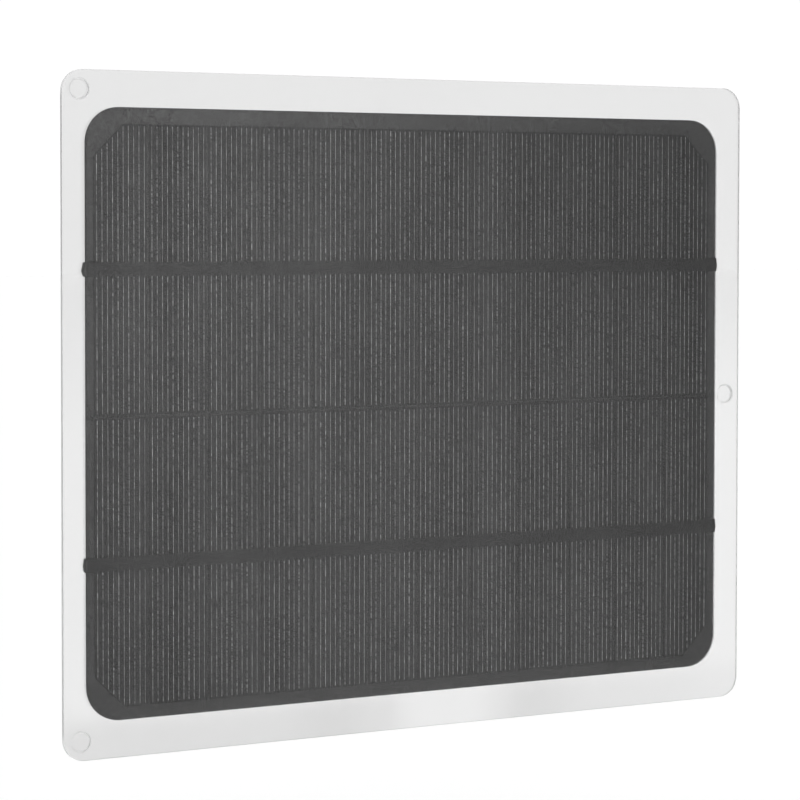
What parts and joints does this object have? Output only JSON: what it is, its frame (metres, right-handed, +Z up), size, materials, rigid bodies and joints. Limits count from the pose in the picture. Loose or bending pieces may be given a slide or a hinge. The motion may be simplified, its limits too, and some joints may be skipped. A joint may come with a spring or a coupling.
{
  "type": "flexible solar sheet",
  "caption": "Thin flexible solar sheet: matte black cell laminate with printed silver fingers on a clear carrier with round corners, and a wiring box behind it.",
  "frame": {"origin": "centre of the clear carrier's rear face", "axes": "+X to the right when looking at the cells, +Z up, and -Y the way the cells face"},
  "size_m": [0.22, 0.0177, 0.185],
  "materials": {
    "clear_carrier": "clear flexible polymer plate, glossy with a faint haze",
    "clear_adhesive": "clear adhesive film",
    "black_film": "matte black backsheet",
    "clear_encapsulant": "clear encapsulant",
    "silicon_cell": "dark textured silicon with printed silver fingers",
    "tinned_ribbon": "tinned copper ribbon",
    "black_tape": "matte black tape",
    "matte_film": "clear front film with a fine matte grain",
    "box_plastic": "moulded black plastic with a fine spark texture",
    "black_rubber": "black rubber",
    "plated_steel": "zinc-plated steel",
    "terminal_metal": "plain brass",
    "diode_plastic": "black moulded diode"
  },
  "bodies": {
    "root": {"carrier_sheet": "clear_carrier", "bond_layer": "clear_adhesive", "backsheet": "black_film", "rear_encapsulant": "clear_encapsulant", "cell_upper_01": "silicon_cell", "cell_upper_02": "silicon_cell", "cell_upper_03": "silicon_cell", "cell_upper_04": "silicon_cell", "cell_upper_05": "silicon_cell", "cell_upper_06": "silicon_cell", "cell_upper_07": "silicon_cell", "cell_upper_08": "silicon_cell", "cell_upper_09": "silicon_cell", "cell_upper_10": "silicon_cell", "cell_upper_11": "silicon_cell", "cell_upper_12": "silicon_cell", "cell_lower_01": "silicon_cell", "cell_lower_02": "silicon_cell", "cell_lower_03": "silicon_cell", "cell_lower_04": "silicon_cell", "cell_lower_05": "silicon_cell", "cell_lower_06": "silicon_cell", "cell_lower_07": "silicon_cell", "cell_lower_08": "silicon_cell", "cell_lower_09": "silicon_cell", "cell_lower_10": "silicon_cell", "cell_lower_11": "silicon_cell", "cell_lower_12": "silicon_cell", "upper_tabs": "tinned_ribbon", "lower_tabs": "tinned_ribbon", "upper_left_ribbon": "tinned_ribbon", "lower_left_ribbon": "tinned_ribbon", "upper_right_ribbon": "tinned_ribbon", "lower_right_ribbon": "tinned_ribbon", "left_bus": "tinned_ribbon", "right_bus": "tinned_ribbon", "left_lead": "tinned_ribbon", "right_lead": "tinned_ribbon", "upper_tape": "black_tape", "lower_tape": "black_tape", "front_encapsulant": "clear_encapsulant", "front_film": "matte_film", "box_pad": "black_rubber", "box_base": "box_plastic", "box_gasket": "black_rubber", "box_lid": "box_plastic", "box_screws": "plated_steel", "negative_terminal": "terminal_metal", "positive_terminal": "terminal_metal", "terminal_screws": "plated_steel", "bypass_diode": "diode_plastic", "gland_body": "box_plastic", "gland_locknut": "box_plastic", "gland_seal": "black_rubber", "gland_nut": "box_plastic"}
  },
  "joints": []
}
